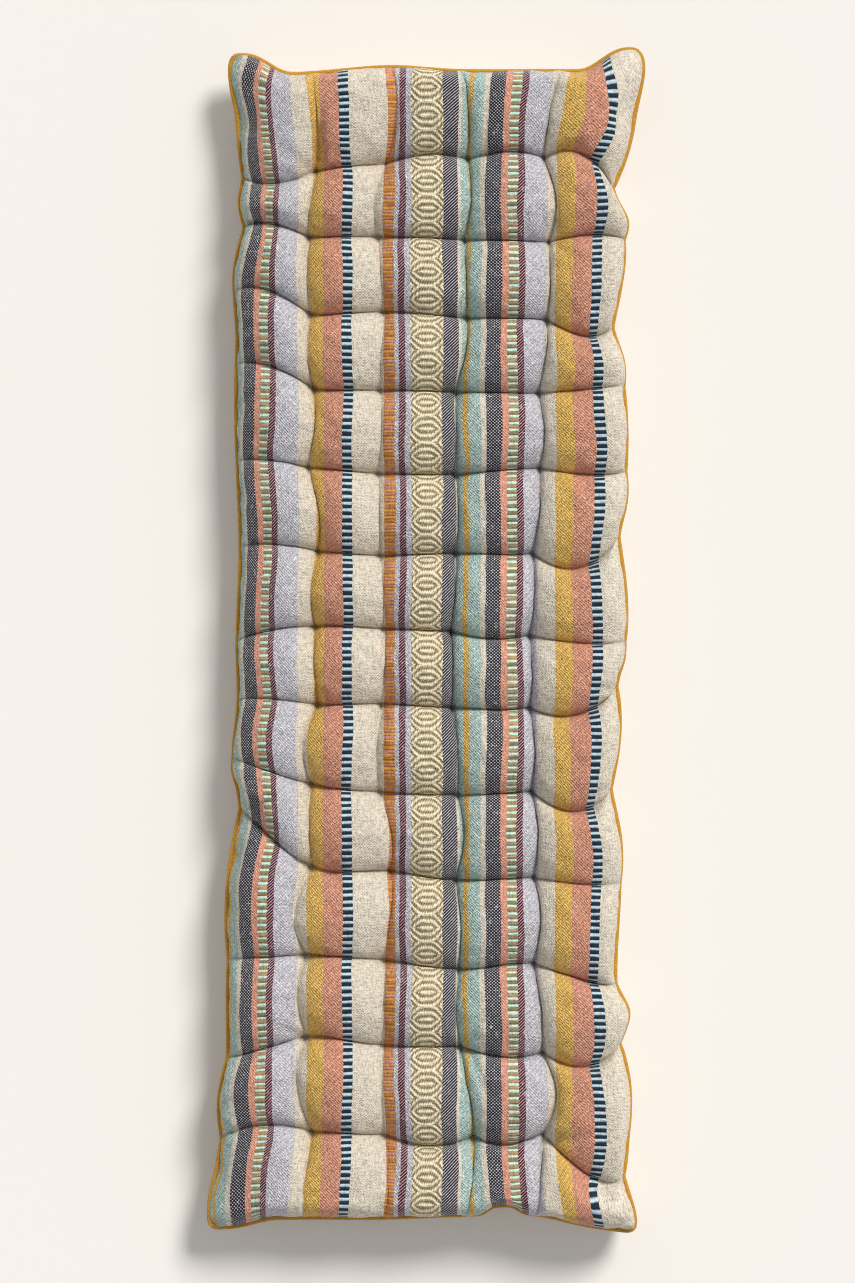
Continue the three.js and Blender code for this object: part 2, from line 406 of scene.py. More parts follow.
def through(knots, place):
    """Point of a smooth curve through the knots; place counts the knots."""
    count = knots.shape[-2]
    first = np.clip(np.floor(place).astype(int), 0, count - 2)

    def knot(step):
        index = np.clip(first + step, 0, count - 1)[..., None, None]
        return np.take_along_axis(knots, index, axis=-2)[..., 0, :]

    w = (place - first)[..., None]
    a, b, c, d = knot(-1), knot(0), knot(1), knot(2)
    square = (2 * a - 5 * b + 4 * c - d) * w**2
    cube = (3 * b - a - 3 * c + d) * w**3
    return 0.5 * (2 * b + (c - a) * w + square + cube)


def inset(place, cells):
    """Distance in from the nearer seam, in millimetres of an outer puff."""
    return np.minimum(place, cells - place) * EDGE_PUFF


def round_corner(u, v):
    """The square of grid lines inside a corner's radius becomes a quarter disc."""
    a = 1 - inset(u, ACROSS) / CORNER_RADIUS
    b = 1 - inset(v, ALONG) / CORNER_RADIUS
    squeeze = np.maximum(a, b) / np.maximum(np.hypot(a, b), TINY)
    du = (1 - a * squeeze) * CORNER_RADIUS / EDGE_PUFF
    dv = (1 - b * squeeze) * CORNER_RADIUS / EDGE_PUFF
    near = (a > 0) & (b > 0)
    return (
        np.where(near, np.where(u < ACROSS / 2, du, ACROSS - du), u),
        np.where(near, np.where(v < ALONG / 2, dv, ALONG - dv), v),
    )


def row_bend(u, v):
    """How far a place moves towards the head because the rows' folds near it are bent."""
    bends = np.zeros((ALONG + 1, ACROSS))
    bends[1:ALONG] = ROW_BENDS
    cell = np.minimum(np.floor(v).astype(int), ALONG - 1)
    column = np.minimum(np.floor(u).astype(int), ACROSS - 1)
    before, after = bends[cell, column], bends[cell + 1, column]
    return (before + (after - before) * smooth_step(v - cell)) * np.sin(np.pi * (u - column))


def raw_plan(u, v):
    """Plan place, before it is centred, of points given by tuft line u and tuft row v."""
    u, v = round_corner(u, v)
    lines = [through(np.broadcast_to(line, v.shape + line.shape), v) for line in lattice()]
    crossing = np.stack(lines, axis=-2)
    cell = np.minimum(np.floor(v).astype(int), ALONG - 1)
    bow = np.sin(np.pi * (v - cell))
    left = np.array([HEAD_SWELL["left"], *[end.swell for end in LEFT_ENDS]], float)
    right = np.array([HEAD_SWELL["right"], *[end.swell for end in RIGHT_ENDS]], float)
    crossing[..., 0, 0] -= left[cell] * bow
    crossing[..., ACROSS, 0] += right[cell] * bow
    for line, bows in enumerate(LINE_BOWS, 1):
        crossing[..., line, 0] += np.array(bows, float)[cell] * bow
    point = through(crossing, u)
    point[..., 1] += row_bend(u, v)
    moved = point.copy()
    for pull in SEAM_PULLS:
        away = np.linalg.norm(point - np.array(pull.at, float), axis=-1) / pull.reach
        moved += np.array(pull.by, float) * np.exp(-(away**4))[..., None]
    return moved


def plan_shift():
    """What brings the middle of the seam's box to the middle of the frame's body."""
    run = np.linspace(0, 1, PLAN_STEPS)
    sides = [(run * 0, run * ALONG), (run * 0 + ACROSS, run * ALONG)]
    ends = [(run * ACROSS, run * 0), (run * ACROSS, run * 0 + ALONG)]
    seam = np.concatenate([raw_plan(u, v) for u, v in sides + ends])
    middle = np.array([BODY_LOW.x + BODY_HIGH.x, BODY_LOW.y + BODY_HIGH.y]) / 2
    return middle / MM - (seam.min(0) + seam.max(0)) / 2


PLAN_SHIFT = plan_shift()


def plan(u, v):
    """Plan place in metres."""
    return (raw_plan(u, v) + PLAN_SHIFT) * MM


# Heights of the padded body

def arch(place, cells, roundness, tightness):
    """0 on a fold and 1 over a crown; outer cells have no fold at the seam."""
    cell = np.minimum(np.floor(place), cells - 1)
    side = 2 * (place - cell) - 1
    side = np.where(cell == 0, np.maximum(side, 0), side)
    side = np.where(cell == cells - 1, np.minimum(side, 0), side)
    return (1 - np.abs(side) ** roundness) ** tightness


def by_line(values, u):
    """The value of the tuft line nearest to u."""
    return np.array(values)[np.clip(np.round(u).astype(int), 1, ACROSS - 1) - 1]


def fold_depth(u, v):
    """Depth that is left of a row's fold as it runs from the outer tuft to the side seam."""
    row = np.clip(np.round(v).astype(int) - 1, 0, len(TUFT_ROWS) - 1)
    left = np.array([end.depth for end in LEFT_ENDS])[row]
    right = np.array([end.depth for end in RIGHT_ENDS])[row]
    end = np.where(u < ACROSS / 2, left, right)
    inward = np.minimum(np.minimum(u, ACROSS - u), 1)
    return end + (1 - end) * inward


def fill_share(u, v, roundness):
    """Share of the full puff, 0 in a tuft and 1 on a crown."""
    end_fade = smooth_step(inset(v, ALONG) / EDGE_PUFF * END_FADE)
    line_drop = by_line(LINE_DEPTH, u) * (LINE_AT_END + (1 - LINE_AT_END) * end_fade)
    across = 1 - line_drop * (1 - arch(u, ACROSS, roundness, by_line(LINE_TIGHTNESS, u)))
    along = 1 - fold_depth(u, v) * (1 - arch(v, ALONG, roundness, ROW_TIGHTNESS))
    both = 1 - ACROSS_FOLD_FILL - ALONG_FOLD_FILL
    return ACROSS_FOLD_FILL * across + ALONG_FOLD_FILL * along + both * across * along


def rim_share(distance, reach, roundness):
    side = 1 - np.minimum(distance / reach, 1)
    return np.maximum(0, 1 - side**roundness) ** (1 / roundness)


def rise(u, v, reach):
    """Share of its full height that the cloth has near to the seam, less in the ears."""
    p, q = inset(u, ACROSS), inset(v, ALONG)
    away = np.hypot(p, q) / CORNER_FLAT_REACH
    is_left = u < ACROSS / 2
    side = rim_share(p, np.where(is_left, reach * LONGER_LEFT_RIM, reach),
                     np.where(is_left, LEFT_RIM_ROUNDNESS, RIM_ROUNDNESS))
    return side * rim_share(q, reach, RIM_ROUNDNESS) * (1 - CORNER_FLATNESS * np.exp(-away**2))


def grid_lines(cells, puff_steps, reach):
    """Places of the grid lines over a run of cells, even over the curved rims."""
    angles = np.linspace(0, math.pi / 2, RIM_STEPS + 1)
    rim = reach * (1 - np.cos(angles)) / EDGE_PUFF
    even = np.arange(1, OUTER_STEPS) / OUTER_STEPS
    rest = rim[-1] + (1 - rim[-1]) * (even + FOLD_CROWDING * (np.sin(np.pi / 2 * even) - even))
    outer = np.concatenate([rim, rest])
    even = np.arange(puff_steps) / puff_steps
    crowded = even + FOLD_CROWDING * ((1 - np.cos(np.pi * even)) / 2 - even)
    inner = [cell + crowded for cell in range(1, cells - 1)]
    return np.concatenate([outer, *inner, [cells - 1], (cells - outer)[::-1]])


class BodyGrid:
    """The two cloths of the body on one grid, which share their points along the seam."""

    def __init__(self, sizes):
        reach = sizes.rim_reach / MM
        self.u_lines = grid_lines(ACROSS, PUFF_STEPS_ACROSS, reach)
        self.v_lines = grid_lines(ALONG, PUFF_STEPS_ALONG, reach)
        self.v, self.u = np.meshgrid(self.v_lines, self.u_lines, indexing="ij")
        plan_xy = plan(self.u, self.v)
        share = fill_share(self.u, self.v, sizes.roundness)
        up = rise(self.u, self.v, reach)
        full_top = sizes.tuft_height + (sizes.crown_height - sizes.tuft_height) * share
        full_under = np.maximum(0, sizes.under_tuft - sizes.under_drop * share)
        top = SEAM_HEIGHT + (full_top - SEAM_HEIGHT) * up
        under = SEAM_HEIGHT + (full_under - SEAM_HEIGHT) * up
        self.top = np.dstack([plan_xy, top])
        self.under = np.dstack([plan_xy, under])
        rows, lines = self.u.shape
        seam = np.zeros((rows, lines), bool)
        seam[[0, -1], :] = True
        seam[:, [0, -1]] = True
        self.seam = seam
        self.top_index = np.arange(rows * lines).reshape(rows, lines)
        self.under_index = self.top_index.copy()
        self.under_index[~seam] = rows * lines + np.arange((~seam).sum())

    def points(self):
        return np.concatenate([self.top.reshape(-1, 3), self.under[~self.seam]])

    def faces(self):
        """Quads of the top cloth, then those of the underside, all facing outwards."""
        def quads(index, corners):
            return np.stack([index[c] for c in corners], axis=-1).reshape(-1, 4)

        here, down = slice(None, -1), slice(1, None)
        ring = [(here, here), (down, here), (down, down), (here, down)]
        return np.concatenate([quads(self.top_index, ring), quads(self.under_index, ring[::-1])])

    def cloth_places(self):
        """Place in the flat cloth, in metres, of every grid point.

        It is the place in the plan, plus the cloth that the puffs take up on the way there from
        the cushion's middle. That is evened out along the other direction, because the woven
        lines run straight across the folds.
        """
        x, y = self.top[..., 0], -self.top[..., 1]
        middles = (self.u[:, 1:] + self.u[:, :-1]) / 2
        share = np.where(middles < LEFT_RIM_END, LEFT_RIM_TAKEN, by_line(LINE_TAKEN, middles))
        taken_x = self.taken(x, 1, share)
        taken_y = self.taken(y, 0, ROW_TAKEN)
        for row, line in zip(taken_x, x):
            row -= np.interp(0, line, row)
        for row, line in zip(taken_y.T, y.T):
            row -= np.interp(0, line, row)
        side = x + blur(taken_x, 0, self.v_lines, SIDE_EVENING)
        length = y + blur(taken_y, 1, self.u_lines, LENGTH_EVENING)
        inner_rows = (self.v_lines > END_ROWS) & (self.v_lines < ALONG - END_ROWS)
        inner_lines = (self.u_lines > 1) & (self.u_lines < ACROSS - 1)
        along_seam = side[inner_rows].mean(axis=0, keepdims=True)
        along_end = length[:, inner_lines].mean(axis=1, keepdims=True)
        near_seam = smooth_step(1 - inset(self.u, ACROSS) / EDGE_PUFF)
        near_end = smooth_step(1 - inset(self.v, ALONG) / EDGE_PUFF)
        side = side + (along_seam - side) * near_seam
        length = length + (along_end - length) * near_end
        for pull in CLOTH_PULLS:
            away_x = (x / MM - pull.at[0]) / pull.reach[0]
            away_y = (-y / MM - pull.at[1]) / pull.reach[1]
            side = side + pull.by * MM * np.exp(-(away_x**2) - away_y**2)
        return side, length

    def taken(self, plan_place, axis, share):
        """Cloth that the puffs take up between the first grid line and each other one."""
        arcs = np.linalg.norm(np.diff(self.top, axis=axis), axis=2)
        spare = (arcs - np.diff(plan_place, axis=axis)) * share
        start = np.zeros_like(spare.take([0], axis=axis))
        return np.concatenate([start, np.cumsum(spare, axis=axis)], axis=axis)


def blur(values, axis, places, width):
    """Weighted mean along one axis, so that cloth lines run straight across the folds."""
    gap = (places[:, None] - places[None, :]) / width
    weight = np.exp(-gap * gap)
    weight /= weight.sum(axis=1, keepdims=True)
    return weight @ values if axis == 0 else values @ weight.T


def crease_drop(place):
    """How far a place of the top cloth, in plan millimetres, sinks in the small creases."""
    drop = np.zeros(len(place))
    for crease in CREASES:
        start, end = np.array(crease.start, float), np.array(crease.end, float)
        run = end - start
        share = np.clip((place - start) @ run / (run @ run), 0, 1)
        away = np.linalg.norm(place - start - share[:, None] * run, axis=1) / crease.width
        groove = np.exp(-(away**2)) - RIDGE_SHARE * np.exp(-((away - RIDGE_PLACE) ** 2))
        drop += crease.depth * (1 - share**2) * groove
    return drop


def small_waves(place, sizes):
    """Uneven rise and fall of the top cloth, from waves with seeded places and directions."""
    rng = np.random.default_rng(sizes.seed)
    total = np.zeros(len(place))
    for number in range(sizes.waves):
        heading = rng.uniform(0, np.pi)
        length = rng.uniform(*WAVE_LENGTHS)
        phase = rng.uniform(0, 2 * np.pi)
        turn = 2 * np.pi / length
        run = place @ np.array([np.cos(heading), np.sin(heading)])
        bend = np.sin(place @ np.array([-np.sin(heading), np.cos(heading)]) * turn * CREST_BEND + number)
        total += np.cos(run * turn + phase + bend)
    return total / math.sqrt(sizes.waves / 2)


def make_mesh(name, points, faces):
    """A new mesh object in the scene from arrays of points and faces."""
    mesh = bpy.data.meshes.new(name)
    mesh.from_pydata(points.tolist(), [], faces.tolist())
    mesh.update()
    piece = bpy.data.objects.new(name, mesh)
    bpy.context.scene.collection.objects.link(piece)
    return piece


def set_uv(mesh, places):
    """Gives each point its place in the cloth."""
    layer = mesh.uv_layers.new(name="cloth")
    index = np.zeros(len(mesh.loops), int)
    mesh.loops.foreach_get("vertex_index", index)
    layer.data.foreach_set("uv", places[index].astype(np.float32).ravel())


def positions(mesh):
    values = np.zeros(len(mesh.vertices) * 3, np.float32)
    mesh.vertices.foreach_get("co", values)
    return values.reshape(-1, 3).astype(float)


def set_positions(mesh, points):
    mesh.vertices.foreach_set("co", points.astype(np.float32).ravel())
    mesh.update()


def settle(piece, sizes, hold):
    """Stuffs the cover with Blender's cloth, and keeps the settled shape."""
    group = piece.vertex_groups.new(name="hold")
    for weight in np.unique(np.round(hold, 2)):
        if weight > 0:
            members = np.flatnonzero(np.round(hold, 2) == weight)
            group.add(members.tolist(), float(weight), "REPLACE")
    start = positions(piece.data)
    cloth = piece.modifiers.new("Stuffing", "CLOTH")
    for name, value in STUFFED_CLOTH.items():
        setattr(cloth.settings, name, value)
    cloth.settings.vertex_group_mass = group.name
    cloth.settings.shrink_min = -sizes.ease
    cloth.settings.uniform_pressure_force = sizes.pressure
    cloth.settings.effector_weights.gravity = 0
    cloth.point_cache.frame_start = 1
    cloth.point_cache.frame_end = sizes.settle_frames
    scene = bpy.context.scene
    for step in range(1, sizes.settle_frames + 1):
        scene.frame_set(step)
    graph = bpy.context.evaluated_depsgraph_get()
    settled = positions(piece.evaluated_get(graph).data)
    piece.modifiers.remove(cloth)
    scene.frame_set(1)
    moved = settled - start
    length = np.linalg.norm(moved, axis=1, keepdims=True)
    moved *= np.minimum(1, sizes.cap / np.maximum(length, TINY))
    return start + moved


def subdivided(piece, levels):
    """Replaces the piece's mesh with its subdivided one."""
    surface = piece.modifiers.new("Fine cloth", "SUBSURF")
    surface.levels = levels
    surface.render_levels = levels
    graph = bpy.context.evaluated_depsgraph_get()
    mesh = bpy.data.meshes.new_from_object(piece.evaluated_get(graph))
    piece.modifiers.remove(surface)
    piece.data = mesh


# Node helpers

FLOAT, VECTOR, GEOMETRY = "NodeSocketFloat", "NodeSocketVector", "NodeSocketGeometry"
FULL_TURN = 2 * math.pi


def put(tree, kind, inputs=None, **settings):
    """Adds a node; an input is a value, or a socket to link from."""
    node = tree.nodes.new(kind)
    for name, value in settings.items():
        setattr(node, name, value)
    for key, value in (inputs or {}).items():
        socket = node.inputs[key]
        if isinstance(value, bpy.types.NodeSocket):
            tree.links.new(value, socket)
        else:
            socket.default_value = value
    return node


def math_node(tree, operation, *values):
    return put(tree, "ShaderNodeMath", dict(enumerate(values)), operation=operation).outputs[0]


def plus(tree, *values):
    return reduce(lambda a, b: math_node(tree, "ADD", a, b), values)


def times(tree, *values):
    return reduce(lambda a, b: math_node(tree, "MULTIPLY", a, b), values)


def minus(tree, a, b):
    return math_node(tree, "SUBTRACT", a, b)


def over(tree, a, b):
    return math_node(tree, "DIVIDE", a, b)


def cosine(tree, value):
    return math_node(tree, "COSINE", value)


def sine(tree, value):
    return math_node(tree, "SINE", value)


def remap(tree, value, *ends):
    """Brings a value from between the first two ends to between the last two, 0 and 1 if not given."""
    return put(tree, "ShaderNodeMapRange", dict(enumerate((value, *ends)))).outputs[0]


def flat_vector(tree, x, y):
    return put(tree, "ShaderNodeCombineXYZ", {0: x, 1: y}).outputs[0]


def mix_colour(tree, factor, a, b, blend="MIX"):
    inputs = {0: factor, 6: a, 7: b}
    return put(tree, "ShaderNodeMix", inputs, data_type="RGBA", blend_type=blend).outputs[2]


def plain_colour(tree, colour):
    node = put(tree, "ShaderNodeRGB")
    node.outputs[0].default_value = (*colour, 1.0)
    return node.outputs[0]


def noise(tree, vector, scale, detail=2.0, roughness=0.5):
    inputs = {"Vector": vector, "Scale": scale, "Detail": detail, "Roughness": roughness}
    return put(tree, "ShaderNodeTexNoise", inputs).outputs["Fac"]


def centred_noise(tree, vector, scale, detail=2.0):
    return minus(tree, noise(tree, vector, scale, detail), 0.5)


def shader_group(name, inputs, outputs):
    """A shader node group with named sockets, and the sockets of its two end nodes.

    An input without a value is a vector. All other sockets are numbers.
    """
    tree = bpy.data.node_groups.new(name, "ShaderNodeTree")
    for label, value in inputs.items():
        if value is None:
            tree.interface.new_socket(label, in_out="INPUT", socket_type=VECTOR)
        else:
            socket = tree.interface.new_socket(label, in_out="INPUT", socket_type=FLOAT)
            socket.default_value = value
    for label in outputs:
        tree.interface.new_socket(label, in_out="OUTPUT", socket_type=FLOAT)
    return tree, tree.nodes.new("NodeGroupInput").outputs, tree.nodes.new("NodeGroupOutput").inputs


def send(tree, end, **results):
    """Links each result to the group's output of that name."""
    for name, value in results.items():
        tree.links.new(value, end[name])


def use_group(tree, name, inputs):
    return put(tree, "ShaderNodeGroup", inputs, node_tree=bpy.data.node_groups[name]).outputs


# Effects that several cloths share

# How far noise pushes the yarns about, in metres, and how fine that noise is
PLAIN_PUSH, PLAIN_PUSH_SCALE = 0.0040, 300.0
TWILL_PUSH, TWILL_PUSH_SCALE = 0.005, 260.0
BAR_DRIFT, BAR_DRIFT_SCALE, BAR_STRAIGHTNESS = 0.0028, 130.0, 0.12

# Scale of the noise in the yarns that run across the cloth, and in those that run along it: less
# than 1 makes their thick places longer that way
WEFT_STRETCH, WARP_STRETCH = (0.3, 1.0, 1.0), (1.0, 0.25, 1.0)
YARN_DETAIL, YARN_ROUGHNESS = 1.5, 0.6
TONE_SCALE, TONE_DETAIL, TONE_ROUGHNESS = 9.0, 3.0, 0.6

# The checks: their repeat across and along, in metres, the heights between which dark turns to
# pale, and how much thinner a slant makes the pale strokes
CHECK_ACROSS, CHECK_ALONG = 0.0033, 0.0031
CHECK_EDGE = (0.18, 0.55)
STROKE_THINNING = 0.25

# The twill: the height of its floats beside that of its lines, and the range of its mask. The
# ladders: the heights between which one bar turns to the next
FLOAT_SHARE = 0.45
TWILL_RANGE = (-1.2, 1.2)
BAR_EDGE = (-0.6, 0.2)

# The ovals: half the flat part of a ring, its slope and bend beside that, the rings in one repeat,
# the repeat and height of the rope's strands, and the heights between which ground turns to ring
OVAL_FLAT, OVAL_SLOPE, OVAL_BEND = 0.005, 0.42, 0.022
OVAL_RINGS = 4.0
ROPE_ACROSS, ROPE_ALONG, ROPE_SHARE = 0.0024, 0.0067, 0.35
OVAL_EDGE = (0.1, -0.9)


def yarn_group():
    """Uneven yarn: thick and thin places along both directions of a weave."""
    tree, start, end = shader_group(
        "Uneven yarn", {"Cloth": None, "Pitch": 0.0012, "Amount": 0.2}, ("Shade", "Height"))
    density = over(tree, 1.0, start["Pitch"])
    yarns = []
    for stretch in (WEFT_STRETCH, WARP_STRETCH):
        run = put(tree, "ShaderNodeMapping", {"Vector": start["Cloth"], "Scale": stretch}).outputs[0]
        yarns.append(noise(tree, run, density, YARN_DETAIL, YARN_ROUGHNESS))
    both = minus(tree, plus(tree, *yarns), 1.0)
    send(tree, end, Shade=plus(tree, times(tree, both, start["Amount"]), 1.0), Height=both)


def pebble_group():
    """Rounded yarns of a plain weave, pushed about a little."""
    tree, start, end = shader_group(
        "Plain weave", {"Across": 0.0, "Along": 0.0, "Pitch": 0.0024}, ("Height",))
    where = flat_vector(tree, start["Across"], start["Along"])
    push = times(tree, centred_noise(tree, where, PLAIN_PUSH_SCALE), PLAIN_PUSH)
    turn = over(tree, FULL_TURN, start["Pitch"])
    a = times(tree, plus(tree, start["Across"], push), turn)
    b = times(tree, minus(tree, start["Along"], push), turn)
    send(tree, end, Height=times(tree, cosine(tree, a), cosine(tree, b)))


def twill_group():
    """Slanting lines of a twill, as a mask and a height."""
    tree, start, end = shader_group(
        "Twill lines", {"Across": 0.0, "Along": 0.0, "Pitch": 0.0026}, ("Mask", "Height"))
    slant = minus(tree, start["Across"], start["Along"])
    where = flat_vector(tree, start["Across"], start["Along"])
    push = times(tree, noise(tree, where, TWILL_PUSH_SCALE), TWILL_PUSH)
    turns = over(tree, plus(tree, slant, push), start["Pitch"])
    wave = sine(tree, times(tree, turns, FULL_TURN))
    floats = over(tree, plus(tree, start["Across"], start["Along"]), start["Pitch"])
    beat = sine(tree, times(tree, floats, math.pi))
    height = plus(tree, wave, times(tree, beat, FLOAT_SHARE))
    send(tree, end, Mask=remap(tree, height, *TWILL_RANGE), Height=height)


def check_group():
    """Staggered pale diamonds on a dark ground, which a slant turns into short strokes."""
    tree, start, end = shader_group(
        "Yarn check", {"Across": 0.0, "Along": 0.0, "Slant": 0.0}, ("Mask", "Height"))
    a = times(tree, start["Across"], FULL_TURN / CHECK_ACROSS)
    b = times(tree, start["Along"], FULL_TURN / CHECK_ALONG)
    diamonds = times(tree, cosine(tree, a), cosine(tree, b))
    strokes = minus(tree, cosine(tree, plus(tree, a, b)), diamonds)
    height = plus(tree, diamonds, times(tree, strokes, start["Slant"]))
    pale = minus(tree, height, times(tree, start["Slant"], STROKE_THINNING))
    send(tree, end, Mask=remap(tree, pale, *CHECK_EDGE), Height=height)


def ladder_group():
    """Bars across a stripe, a little uneven in width and place, some of them in a third yarn."""
    tree, start, end = shader_group(
        "Ladder bars", {"Across": 0.0, "Along": 0.0, "Pitch": 0.007}, ("Mask", "Odd", "Height"))
    where = flat_vector(tree, times(tree, start["Across"], BAR_STRAIGHTNESS), start["Along"])
    drift = times(tree, noise(tree, where, BAR_DRIFT_SCALE), BAR_DRIFT)
    turns = over(tree, plus(tree, start["Along"], drift), start["Pitch"])
    wave = sine(tree, times(tree, turns, FULL_TURN))
    number = {"W": math_node(tree, "FLOOR", turns)}
    odd = put(tree, "ShaderNodeTexWhiteNoise", number, noise_dimensions="1D").outputs["Value"]
    mask = remap(tree, wave, *BAR_EDGE)
    send(tree, end, Mask=mask, Odd=odd, Height=math_node(tree, "ABSOLUTE", wave))


def oval_group():
    """Rings of rope-like yarn round a column of flat ovals."""
    tree, start, end = shader_group(
        "Oval rings", {"Across": 0.0, "Along": 0.0, "Pitch": 0.027}, ("Mask", "Height"))
    turns = math_node(tree, "FRACT", over(tree, start["Along"], start["Pitch"]))
    y = times(tree, math_node(tree, "ABSOLUTE", minus(tree, turns, 0.5)), start["Pitch"])
    x = minus(tree, math_node(tree, "ABSOLUTE", start["Across"]), OVAL_FLAT)
    x = math_node(tree, "MAXIMUM", x, 0.0)
    slope = plus(tree, times(tree, x, OVAL_SLOPE), over(tree, times(tree, x, x), OVAL_BEND))
    nearest = over(tree, plus(tree, y, slope), over(tree, start["Pitch"], OVAL_RINGS))
    rings = cosine(tree, times(tree, nearest, FULL_TURN))
    a = times(tree, start["Across"], FULL_TURN / ROPE_ACROSS)
    b = times(tree, start["Along"], FULL_TURN / ROPE_ALONG)
    rope = times(tree, cosine(tree, plus(tree, a, b)), ROPE_SHARE)
    height = plus(tree, rings, rope)
    send(tree, end, Mask=remap(tree, height, *OVAL_EDGE), Height=height)


def wear_group():
    """Broad soft differences of tone over a piece."""
    tree, start, end = shader_group("Tone over the cloth", {"Cloth": None, "Amount": 0.08}, ("Shade",))
    broad = noise(tree, start["Cloth"], TONE_SCALE, TONE_DETAIL, TONE_ROUGHNESS)
    scaled = times(tree, minus(tree, broad, 0.5), start["Amount"])
    send(tree, end, Shade=plus(tree, scaled, 1.0))


SHARED_EFFECTS = {
    "Uneven yarn": yarn_group,
    "Twill lines": twill_group,
    "Plain weave": pebble_group,
    "Yarn check": check_group,
    "Ladder bars": ladder_group,
    "Oval rings": oval_group,
    "Tone over the cloth": wear_group,
}


def ensure_effects():
    for name, build in SHARED_EFFECTS.items():
        if name not in bpy.data.node_groups:
            build()


SHEEN_ROUGHNESS = 0.5
CLOTH_SHINE = 0.18


def new_material(name, roughness, sheen):
    """A cloth material, its tree and its shader."""
    ensure_effects()
    material = bpy.data.materials.new(name)
    material.use_nodes = True
    tree = material.node_tree
    shader = tree.nodes["Principled BSDF"]
    shader.inputs["Roughness"].default_value = roughness
    shader.inputs["Sheen Weight"].default_value = sheen
    shader.inputs["Sheen Roughness"].default_value = SHEEN_ROUGHNESS
    shader.inputs["Specular IOR Level"].default_value = CLOTH_SHINE
    return material, tree, shader


def cloth_coordinates(tree):
    """The piece's own cloth map, as a vector and as its two lengths in metres."""
    uv = put(tree, "ShaderNodeUVMap", uv_map="cloth").outputs[0]
    parts = put(tree, "ShaderNodeSeparateXYZ", {0: uv}).outputs
    return uv, parts[0], parts[1]


def shade_by(tree, colour, *factors):
    """A colour times some grey factors."""
    product = times(tree, *factors)
    grey = put(tree, "ShaderNodeCombineColor", {0: product, 1: product, 2: product}).outputs[0]
    return mix_colour(tree, 1.0, colour, grey, "MULTIPLY")


def finish_cloth(tree, shader, colour, relief, distance, strength):
    """Gives the shader its colour and its bump."""
    tree.links.new(colour, shader.inputs["Base Color"])
    inputs = {"Height": relief, "Distance": distance, "Strength": strength}
    tree.links.new(put(tree, "ShaderNodeBump", inputs).outputs[0], shader.inputs["Normal"])


def stripe_ramp(tree, place, pick):
    """A ramp over one repeat of the cloth, with a hard stop at each stripe."""
    node = put(tree, "ShaderNodeValToRGB", {0: place})
    ramp = node.color_ramp
    ramp.interpolation = "CONSTANT"
    at = 0.0
    for number, stripe in enumerate(STRIPES):
        stop = ramp.elements[number] if number < 2 else ramp.elements.new(at)
        stop.position = at
        stop.color = (*pick(stripe), 1.0)
        at += stripe.width / CLOTH_REPEAT
    return node.outputs[0]


def stripe_masks(tree, place, *weaves):
    """Three masks, each 1 on the stripes of its own weave."""
    ramp = stripe_ramp(tree, place, lambda stripe: [float(stripe.weave == weave) for weave in weaves])
    return put(tree, "ShaderNodeSeparateColor", {0: ramp}).outputs


def oval_middle():
    """Distance of the oval stripe's middle from the cloth's middle line, in metres."""
    at = CLOTH_START
    for stripe in STRIPES:
        if stripe.weave == "oval":
            return (at + stripe.width / 2) * MM
        at += stripe.width
    raise ValueError("the cloth has no oval stripe")


# The top cloth: how far its stripes' edges fray and wander, in metres, and how finely
FRAY, FRAY_SCALE = 0.0016, 420.0
WANDER, WANDER_SCALE = 0.007, 14.0

# How much of its second colour a weave shows, which in twill and plain stripes is painted shade
# between the yarns, how far each weave stands out in its bump and in the painted shading, from
# which to which height of the yarn its specks show, and how dark the painted shade in the hollows
# and how pale the painted highlight on the crowns of a weave are
TWILL_PAINTED_SHADE, PLAIN_PAINTED_SHADE, OVAL_SECOND = 0.6, 0.3, 0.9
PLAIN_LEVEL = 0.4
TWILL_RELIEF, PLAIN_RELIEF, OVAL_RELIEF = 0.35, 0.4, 1.0
CHECK_RELIEF, LADDER_RELIEF, YARN_RELIEF = 0.5, 0.8, 1.3
SPECKS = (0.16, 0.4, 0.0, 0.6)
PAINTED_WEAVE_SHADING = (-1.2, 1.0, 0.74, 1.12)

# The same painted shade in the hollows and painted highlight on the crowns, in the calico and in the bias
# strip, and how fine the thread's fibres are
CALICO_PAINTED_SHADING = (0.0, 1.0, 0.93, 1.03)
BIAS_PAINTED_SHADING = (0.0, 1.0, 0.82, 1.1)
FIBRE_SCALE = 2400.0


